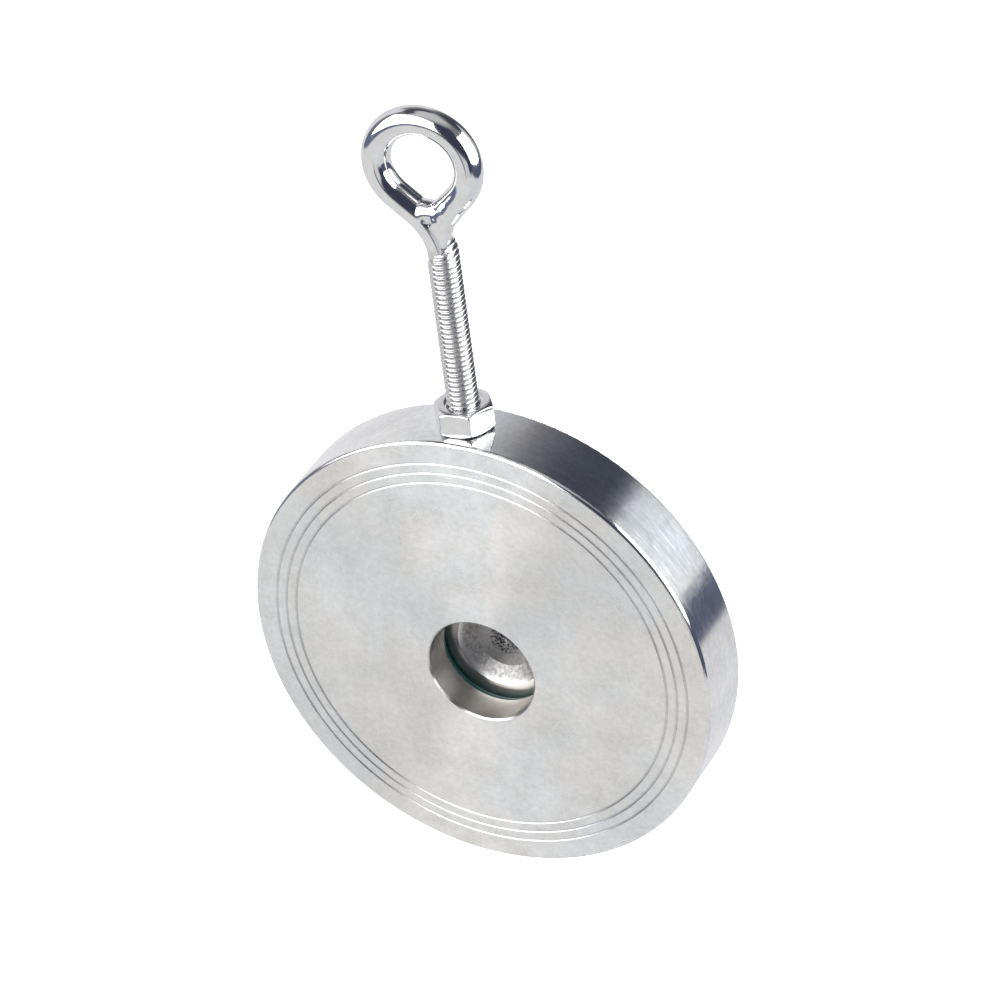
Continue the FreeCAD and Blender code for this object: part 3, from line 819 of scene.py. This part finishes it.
STUD_Y = 7.0
STUD_BOTTOM = 35.2
THREAD_PITCH = 1.0
THREAD_RADIUS = 2.95
THREAD_DEPTH = 0.56
THREAD_CREST = 0.12
THREAD_ROOT = 0.78
THREAD_ROWS_PER_PITCH = 16
THREAD_COLUMNS = 56
THREAD_FADE = 1.4
RUN_OUT_Z = 82.2
RUN_OUT_SLOPE = 0.7
STUD_TOP = 85.5
CORE_RADIUS = 2.6
WIRE_RADIUS = 2.65
NECK_START = 81.11
NECK_RADIUS = 11.6
EYE_TURN = 4.0
EYE_CENTRE = (-1.6, 0.0, 99.3)
EYE_RADIUS = 8.65
RISING_ANGLE = 138.5
FALLING_ANGLE = 227.3
LEG_END = (2.45, 0.0, 90.93)
TAIL_ROUTE = ((1.2, -0.9, 88.58), (0.3, -0.9, 86.35), (-0.8, -0.9, 83.55))
TAIL_RADIUS = 2.3
TAIL_CUT_POINT = (-1.6, -2.3, 89.1)
TAIL_CUT_NORMAL = (-0.672, -0.633, -0.386)
TAIL_FLAT_POINT = (1.693, -2.75, 88.67)
TAIL_FLAT_NORMAL = (0.18, -0.981, -0.07)
TAIL_FLAT_BLEND = 0.6
TAIL_BLEND = 0.3
LEG_BLEND = 0.9
CREASE_BLEND = 0.22
CREASE_TOP = 91.5
CREASE_FADE = 2.0
CREASE_LEAST = 0.01
SADDLE_CENTRE = (-0.9, -0.2, 98.6)
SADDLE_RADIUS = 2.2
SADDLE_START = 263.0
SADDLE_END = 284.0
SADDLE_BLEND = 0.5
EYE_MESH_STEP = 0.13
EYE_LOW = (-13.2, -4.6, 79.0)
EYE_HIGH = (10.4, 3.3, 111.4)


def heading(angle):
    """Unit direction in the eye's plane from its angle above the first axis."""
    return np.array((math.cos(math.radians(angle)), 0.0, math.sin(math.radians(angle))))


def eye_field(points):
    """Distance to the bent wire above the thread, in the eye's own plane."""
    bend_centre = (-NECK_RADIUS, 0, NECK_START)
    bend_turn = RISING_ANGLE - 90
    bend_end = np.asarray(bend_centre) + heading(bend_turn) * NECK_RADIUS
    eye_start = np.asarray(EYE_CENTRE) - heading(RISING_ANGLE - 90) * EYE_RADIUS
    eye_end = np.asarray(EYE_CENTRE) - heading(FALLING_ANGLE - 90) * EYE_RADIUS

    neck = distance_to_segment(points, (0, 0, STUD_BOTTOM), (0, 0, NECK_START))
    neck = np.minimum(neck, distance_to_arc(points, bend_centre, NECK_RADIUS, 0, bend_turn))
    neck = np.minimum(neck, distance_to_segment(points, bend_end, eye_start))
    eye = distance_to_arc(points, EYE_CENTRE, EYE_RADIUS, FALLING_ANGLE - 270, RISING_ANGLE + 90)
    neck = np.minimum(neck, eye) - WIRE_RADIUS
    leg = distance_to_segment(points, eye_end, LEG_END) - WIRE_RADIUS
    tail = np.full(len(points), np.inf)
    start = LEG_END
    for end in TAIL_ROUTE:
        tail = np.minimum(tail, distance_to_segment(points, start, end) - TAIL_RADIUS)
        start = end
    flat = (points - np.asarray(TAIL_FLAT_POINT)) @ np.asarray(TAIL_FLAT_NORMAL)
    tail = smooth_cut(tail, flat, TAIL_FLAT_BLEND)
    cut = (points - np.asarray(TAIL_CUT_POINT)) @ np.asarray(TAIL_CUT_NORMAL)
    tail = smooth_cut(tail, cut, TAIL_BLEND)
    leg = smooth_union(leg, tail, LEG_BLEND)
    saddle = distance_to_arc(points, SADDLE_CENTRE, EYE_RADIUS, SADDLE_START, SADDLE_END)
    crease = np.clip((CREASE_TOP - points[:, 2]) / CREASE_FADE, CREASE_LEAST, 1) * CREASE_BLEND
    wire = smooth_union(neck, leg, crease)
    wire = smooth_union(wire, saddle - SADDLE_RADIUS, SADDLE_BLEND)
    run_out = RUN_OUT_Z + RUN_OUT_SLOPE * points[:, 0] - points[:, 2]
    return np.maximum(wire, run_out / math.hypot(1, RUN_OUT_SLOPE))


def thread_surface():
    """Points and quads of the helical thread, which fades out on the neck bend."""
    rows = int((STUD_TOP - STUD_BOTTOM) / THREAD_PITCH * THREAD_ROWS_PER_PITCH) + 1
    along = np.linspace(STUD_BOTTOM, STUD_TOP, rows)[:, None]
    around = np.linspace(0, 2 * math.pi, THREAD_COLUMNS, endpoint=False)[None, :]
    bend = np.maximum(along - NECK_START, 0) / NECK_RADIUS
    centre_u = NECK_RADIUS * (np.cos(bend) - 1)
    centre_z = np.minimum(along, NECK_START) + NECK_RADIUS * np.sin(bend)

    phase = along / THREAD_PITCH - around / (2 * math.pi)
    flank = np.abs((phase % 1.0) - 0.5) * 2
    flank = np.clip((flank - THREAD_CREST) / (THREAD_ROOT - THREAD_CREST), 0, 1)
    threaded = THREAD_RADIUS - THREAD_DEPTH * flank
    edge = RUN_OUT_Z + RUN_OUT_SLOPE * (centre_u + WIRE_RADIUS * np.cos(around))
    fade = np.clip((edge + THREAD_FADE / 2 - centre_z) / THREAD_FADE, 0, 1)
    lead_in = np.clip((along - STUD_BOTTOM) / THREAD_PITCH, 0, 1)
    radius = CORE_RADIUS + (threaded - CORE_RADIUS) * np.minimum(fade, lead_in)

    u = centre_u + radius * np.cos(around) * np.cos(bend)
    z = centre_z + radius * np.cos(around) * np.sin(bend)
    v = radius * np.sin(around) + 0 * along
    points = np.stack([u, v, z], axis=-1).reshape(-1, 3)

    row, column = np.meshgrid(np.arange(rows - 1), np.arange(THREAD_COLUMNS), indexing="ij")
    beside = (column + 1) % THREAD_COLUMNS
    quad = [row * THREAD_COLUMNS + column, row * THREAD_COLUMNS + beside]
    quad += [quad[1] + THREAD_COLUMNS, quad[0] + THREAD_COLUMNS]
    faces = np.stack([part.ravel() for part in quad], axis=1).tolist()
    last = (rows - 1) * THREAD_COLUMNS
    faces.append(list(range(THREAD_COLUMNS))[::-1])
    faces.append(list(range(last, last + THREAD_COLUMNS)))
    return points, faces


def make_eyebolt(material):
    """Threaded stud and bent eye, in one piece of wire."""
    thread_points, thread_faces = thread_surface()
    eye_points, eye_faces = surface_of(eye_field, EYE_LOW, EYE_HIGH, EYE_MESH_STEP)
    faces = thread_faces + (eye_faces + len(thread_points)).tolist()
    points = np.concatenate([thread_points, eye_points])
    turn = math.radians(EYE_TURN)
    placed = np.stack(
        [
            points[:, 0] * math.cos(turn) - points[:, 1] * math.sin(turn),
            points[:, 0] * math.sin(turn) + points[:, 1] * math.cos(turn) + STUD_Y,
            points[:, 2],
        ],
        axis=1,
    )
    piece = make_piece("lifting_eyebolt_wire", placed, faces, material)
    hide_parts("lifting_eyebolt")


# ---------------------------------------------------------------- lock nut, in mm

NUT_ACROSS_FLATS = 10.0
NUT_HEIGHT = 5.0
NUT_BOTTOM = 46.0
NUT_BORE_RADIUS = 2.97
NUT_SINK_RADIUS = 3.45
NUT_FIRST_SIDE = 36.0
NUT_SIDE_STEP = 60.0
NUT_FACE_RADIUS = 4.75
NUT_CHAMFER_ANGLE = 30.0
NUT_EDGE_ROUNDING = 0.25
NUT_MESH_STEP = 0.1
NUT_MESH_MARGIN = 3 * NUT_MESH_STEP


def nut_field(points):
    """Distance to the hexagon nut, standing on the plane of its lower face."""
    radius = np.hypot(points[:, 0], points[:, 1])
    depth = NUT_HEIGHT / 2 - np.abs(points[:, 2] - NUT_HEIGHT / 2)
    nut = -depth
    for side in range(3):
        angle = math.radians(NUT_FIRST_SIDE + NUT_SIDE_STEP * side)
        across = np.abs(points[:, 0] * math.cos(angle) + points[:, 1] * math.sin(angle))
        nut = smooth_cut(nut, across - NUT_ACROSS_FLATS / 2, NUT_EDGE_ROUNDING)
    slope = math.radians(NUT_CHAMFER_ANGLE)
    cone = (radius - NUT_FACE_RADIUS) * math.sin(slope) - depth * math.cos(slope)
    nut = smooth_cut(nut, cone, NUT_EDGE_ROUNDING)
    nut = smooth_cut(nut, NUT_BORE_RADIUS - radius, NUT_EDGE_ROUNDING)
    sink = (NUT_SINK_RADIUS - depth - radius) * math.sqrt(0.5)
    return smooth_cut(nut, sink, NUT_EDGE_ROUNDING)


def make_nut(material):
    """Hexagon nut on the rim's flat, around the stud."""
    reach = NUT_ACROSS_FLATS / math.sqrt(3) + NUT_MESH_MARGIN
    low = (-reach, -reach, -NUT_MESH_MARGIN)
    high = (reach, reach, NUT_HEIGHT + NUT_MESH_MARGIN)
    points, faces = surface_of(nut_field, low, high, NUT_MESH_STEP)
    points = points + np.array((0, STUD_Y, NUT_BOTTOM))
    piece = make_piece("lock_nut_hexagon", points, faces.tolist(), material)
    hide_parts("lock_nut")


# ---------------------------------------------------------------- CAD pieces


def paint(node, material):
    """Gives a CAD node its material."""
    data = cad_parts[node].data
    data.materials.clear()
    data.materials.append(material)


make_camera()
make_world()
make_soft_boxes()
make_flag()
make_floor()
bpy.context.scene.view_settings.view_transform = "Standard"

polished_steel = make_polished_steel()
keeper_steel = make_milled_steel("milled_steel", KEEPER_DARK, KEEPER_LIGHT, KEEPER_ROUGHNESS)
fastener_steel = make_milled_steel(
    "fastener_steel", FASTENER_DARK, FASTENER_LIGHT, FASTENER_ROUGHNESS
)
washer_plastic = make_washer_plastic()
paint("valve_body", make_body_steel())
paint("seat_o_ring", make_rubber())
paint("flap", make_flap_steel())
paint("hinge_pin", fastener_steel)
for side in ("left", "right"):
    paint("thrust_washer_" + side, washer_plastic)
    paint("pin_keeper_" + side, keeper_steel)
    paint("keeper_screw_" + side, fastener_steel)
make_eyebolt(polished_steel)
make_nut(polished_steel)
